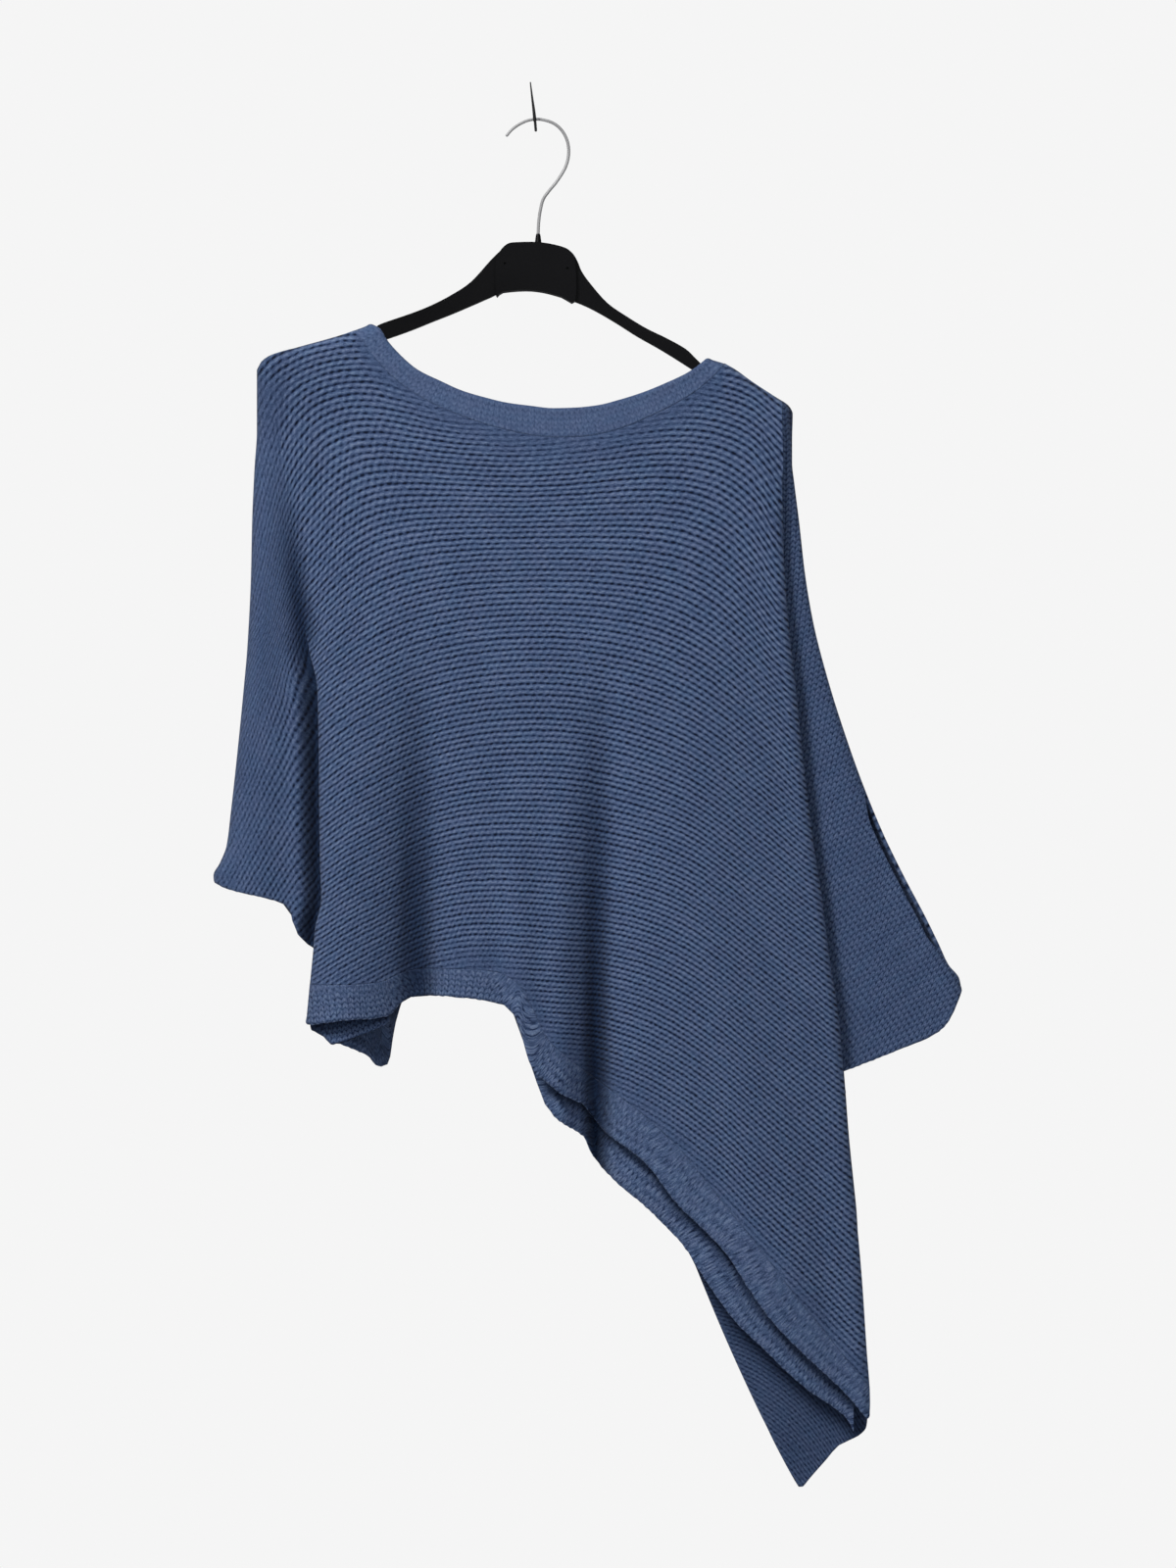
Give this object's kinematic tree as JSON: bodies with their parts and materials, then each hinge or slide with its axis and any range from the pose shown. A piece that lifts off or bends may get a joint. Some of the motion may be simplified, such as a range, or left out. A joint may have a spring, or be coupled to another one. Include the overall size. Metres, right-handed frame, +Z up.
{
  "type": "knitted poncho sweater on a hanger",
  "caption": "Wide knitted poncho sweater with a boat neck, wide sleeves and an asymmetric pointed hem, hung on a shop hanger over a wall hook.",
  "frame": {"origin": "the wall end of the wall hook's shank, in the plane of the wall; everything hangs in front of it and nothing touches the wall", "axes": "+Z up, the garment's front faces -Y, +X to the right as seen from the front"},
  "size_m": [0.626, 0.0936, 1.1761],
  "materials": {
    "knit": "heathered wool-blend knit, ridged reverse side",
    "knit_band": "the same yarn in a smoother, tighter knit",
    "knit_inside": "the same yarn, smooth V-stitch side",
    "hanger_plastic": "black, satin moulded",
    "hook_wire": "bright plated wire",
    "wall_hook_iron": "dark, slightly worn"
  },
  "bodies": {
    "root": {"front_body": "knit", "back_body": "knit", "left_sleeve_front": "knit", "left_sleeve_back": "knit", "right_sleeve_back": "knit", "front_hem_band": "knit_band", "back_hem_band": "knit_band", "front_neck_band": "knit_band", "back_neck_band": "knit_band", "left_side_fold": "knit_inside", "right_sleeve_front": "knit_inside", "right_side_flap": "knit_inside", "hanger_body": "hanger_plastic", "hanger_collar": "hanger_plastic", "hanger_hook": "hook_wire", "wall_hook": "wall_hook_iron"}
  },
  "joints": []
}
